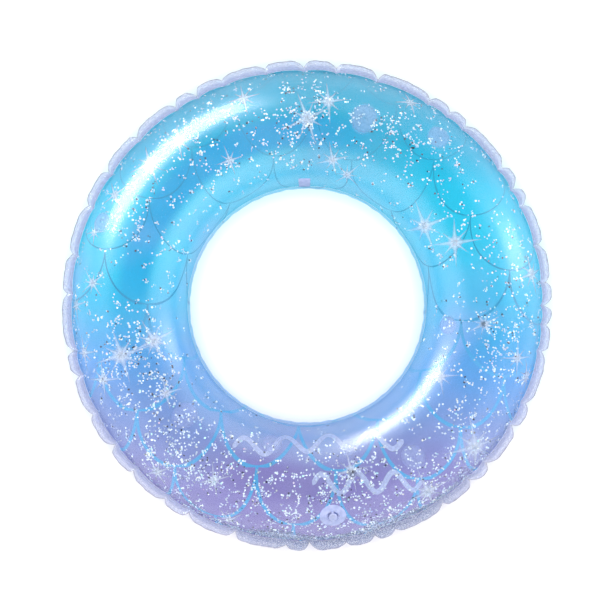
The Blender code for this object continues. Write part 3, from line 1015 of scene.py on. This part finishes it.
def glitter_density(azimuth, share):
    density = np.full(len(azimuth), EVERYWHERE) * np.clip((share - 0.03) / 0.35, 0.25, 1)
    for centre, spread, across, width, weight in CLUSTERS:
        gap = (np.degrees(azimuth) - centre + 180) % 360 - 180
        density += weight * np.exp(-((gap / spread) ** 2) - ((share - across) / width) ** 2)
    return density


def flake_places(count):
    """Places for the flakes, in small clumps, thicker in the drifts: azimuth, share over the tube and
    film."""
    azimuth, share = np.empty(0), np.empty(0)
    while len(azimuth) < count:
        a, s = rng.uniform(-pi, pi, count * 4), rng.uniform(0.03, 0.98, count * 4)
        kept = rng.uniform(0, MOST_DENSE, count * 4) < glitter_density(a, s)
        azimuth, share = np.concatenate([azimuth, a[kept]]), np.concatenate([share, s[kept]])
    side = np.where(rng.uniform(size=count) < 0.55, 1.0, -1.0)
    members = np.repeat(np.arange(count), 1 + rng.geometric(0.45, count) % 9)[:count]
    azimuth = azimuth[members] + rng.normal(scale=CLUMP / RING_R, size=count)
    share = share[members] + rng.normal(scale=CLUMP / (pi * TUBE_R), size=count)
    return azimuth, np.clip(share, 0.025, 0.985), side[members]


def heap_places(count):
    """Places for the finest flakes, which have slid down against the seam on the valve's side."""
    azimuth = radians(HEAP_AT) + rng.normal(scale=radians(HEAP_SPREAD), size=count)
    azimuth += radians(3) * np.sin(azimuth * 9)
    depth = HEAP_WIDTH * (0.70 + 0.30 * np.sin(azimuth * 14))
    share = 1 - (0.002 + depth * rng.uniform(size=count) ** 0.8) / (pi * TUBE_R)
    return azimuth, share, np.where(rng.uniform(size=count) < 0.6, 1.0, -1.0)


def flake_frames(azimuth, share, side):
    """Each flake's middle, and three axes of its plane and normal, with a random tilt and turn."""
    turn = share * pi
    lift = LEAST_LIFT + MORE_LIFT * rng.uniform(size=len(azimuth)) ** 2
    middle = tube_points(azimuth, turn, side, FILM_T + lift)
    normal = np.stack([-np.cos(turn) * np.cos(azimuth), -np.cos(turn) * np.sin(azimuth),
                       side * np.sin(turn)], axis=-1)
    normal += rng.normal(scale=FLAKE_TILT, size=normal.shape)
    normal /= np.linalg.norm(normal, axis=1, keepdims=True)
    random = rng.normal(size=normal.shape)
    first = np.cross(normal, random)
    first /= np.linalg.norm(first, axis=1, keepdims=True)
    return middle, first, np.cross(normal, first), normal


def flake_piece(name, picked, frames, material, radii=FLAKE_RADII):
    """Six-sided flakes as thin closed plates, in one piece."""
    middle, first, second, normal = (f[picked] for f in frames)
    count = len(middle)
    size = rng.uniform(*radii, count)[:, None, None]
    corner = np.arange(6) * pi / 3
    ring = first[:, None, :] * np.cos(corner)[None, :, None]
    ring = ring + second[:, None, :] * np.sin(corner)[None, :, None]
    ring = ring * size
    half = normal[:, None, :] * (FLAKE_T / 2)
    points = np.concatenate([middle[:, None, :] + ring + half, middle[:, None, :] + ring - half], axis=1)
    start = np.arange(count)[:, None] * 12
    top = start + np.arange(6)[None, :]
    base = start + 6 + np.arange(6)[None, ::-1]
    k = np.arange(6)
    sides = np.stack([k, k + 6, (k + 1) % 6 + 6, (k + 1) % 6], axis=-1)
    sides = (start[:, :, None] + sides[None]).reshape(-1, 4)
    ob = make_mesh(name, points, [top, base, sides], smooth=False)
    set_attribute(ob, "tone", np.repeat(rng.uniform(size=count), 12))
    return finish_piece(ob, material, "float", "glitter")


SILVER = [(0.0, srgb(200, 204, 214)), (0.5, srgb(238, 240, 246)), (1.0, srgb(255, 255, 255))]
COLOURED = [(0.0, srgb(255, 205, 222)), (0.3, srgb(206, 255, 240)), (0.6, srgb(205, 216, 255)),
            (1.0, srgb(255, 240, 205))]
DARK = [(0.0, srgb(40, 40, 52)), (0.6, srgb(88, 90, 110)), (1.0, srgb(140, 120, 120))]
places = flake_places(FLAKES)
flakes = flake_frames(*places)
kind = rng.uniform(size=FLAKES)
is_silver, is_dark = kind < SILVER_UP_TO, kind >= TINTED_UP_TO
silver = flake_piece("glitter_silver", is_silver, flakes, flake_material("silver", SILVER, 0.10, 0.35))
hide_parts("loose_glitter")
tinted = flake_material("tinted", COLOURED, 0.10, 0.35)
flake_piece("glitter_tinted", ~is_silver & ~is_dark, flakes, tinted)
flake_piece("glitter_dark", is_dark, flakes, flake_material("dark", DARK, 0.8, 0.35))
heap = flake_frames(*heap_places(HEAP_FLAKES))
GREY = [(0.0, srgb(68, 80, 116)), (0.5, srgb(130, 144, 186)), (0.85, srgb(194, 204, 234)),
        (1.0, srgb(255, 255, 255))]
every = np.ones(HEAP_FLAKES, bool)
grey_silver = flake_material("grey_silver", GREY, 0.25, 0.35)
flake_piece("glitter_heap", every, heap, grey_silver, FINE_RADII)


# Stage, light and camera

# The camera's height, the width it sees at the seams, and where the picture's middle lies
SHOT_HEIGHT = 6.0
VIEW_WIDTH = 0.8645
CENTRE_OFFSET = (-0.0101, 0.0079)
FLOOR = 15
FLOOR_Z = -0.0006  # just below the ink and the tilted flakes of the underside


def floor():
    corners = [(-FLOOR, -FLOOR, 0), (FLOOR, -FLOOR, 0), (FLOOR, FLOOR, 0), (-FLOOR, FLOOR, 0)]
    ob = make_mesh("floor", corners, [[(0, 1, 2, 3)]], smooth=False)
    s = Shader("pale_floor")
    tone = s.step(s.noise(s.object_place(), 3.0), 0.3, 0.7, 0.90, 0.92)
    colour = s.node("CombineColor", {0: tone, 1: tone, 2: tone}).outputs[0]
    ob.data.materials.append(s.done(s.node("BsdfDiffuse", {"Color": colour}).outputs[0]))
    ob.location.z = FLOOR_Z


def studio_world():
    """Pale studio surroundings: bright near the horizon, darker overhead."""
    world = bpy.data.worlds.new("studio")
    bpy.context.scene.world = world
    world.use_nodes = True
    tree = world.node_tree
    tree.nodes.clear()
    direction = tree.nodes.new("ShaderNodeTexCoord")
    axes = tree.nodes.new("ShaderNodeSeparateXYZ")
    ramp = tree.nodes.new("ShaderNodeMapRange")
    ramp.interpolation_type = "SMOOTHSTEP"
    for key, value in {"From Min": 0.62, "From Max": 0.90, "To Min": 1.3, "To Max": 0.15}.items():
        ramp.inputs[key].default_value = value
    light = tree.nodes.new("ShaderNodeBackground")
    end = tree.nodes.new("ShaderNodeOutputWorld")
    tree.links.new(direction.outputs["Generated"], axes.inputs[0])
    tree.links.new(axes.outputs[2], ramp.inputs["Value"])
    tree.links.new(ramp.outputs["Result"], light.inputs["Strength"])
    tree.links.new(light.outputs[0], end.inputs["Surface"])


def softbox(name, azimuth_deg, elevation_deg, distance, size, power):
    """A soft area light that faces the ring."""
    light = bpy.data.lights.new(name, "AREA")
    light.shape = "RECTANGLE"
    light.size, light.size_y = size
    light.energy = power
    ob = bpy.data.objects.new(name, light)
    bpy.context.scene.collection.objects.link(ob)
    a, e = radians(azimuth_deg), radians(elevation_deg)
    target = Vector((0, 0, SEAM_Z))
    offset = Vector((cos(e) * cos(a), cos(e) * sin(a), sin(e))) * distance
    ob.location = target + offset
    ob.rotation_euler = (-offset).to_track_quat("-Z", "Y").to_euler()
    ob.visible_camera = False
    return ob


def camera():
    data = bpy.data.cameras.new("camera")
    ob = bpy.data.objects.new("camera", data)
    bpy.context.scene.collection.objects.link(ob)
    ob.location = (CENTRE_OFFSET[0], CENTRE_OFFSET[1], SHOT_HEIGHT)
    data.sensor_width = 36
    data.lens = data.sensor_width * (SHOT_HEIGHT - SEAM_Z) / VIEW_WIDTH
    data.clip_end = 50
    bpy.context.scene.camera = ob


floor()
studio_world()
# Two boxes make the streaks of gloss, and a wide one overhead lights the print without a streak
softbox("key", 133, 22, 1.7, (1.5, 0.8), 46).visible_diffuse = False
softbox("right", 16, 14, 1.8, (0.45, 1.1), 6).visible_diffuse = False
softbox("overhead", 0, 90, 3.5, (2.5, 2.5), 158).visible_glossy = False
camera()
bpy.context.scene.view_settings.view_transform = "Standard"
bpy.context.scene.cycles.transparent_max_bounces = 32
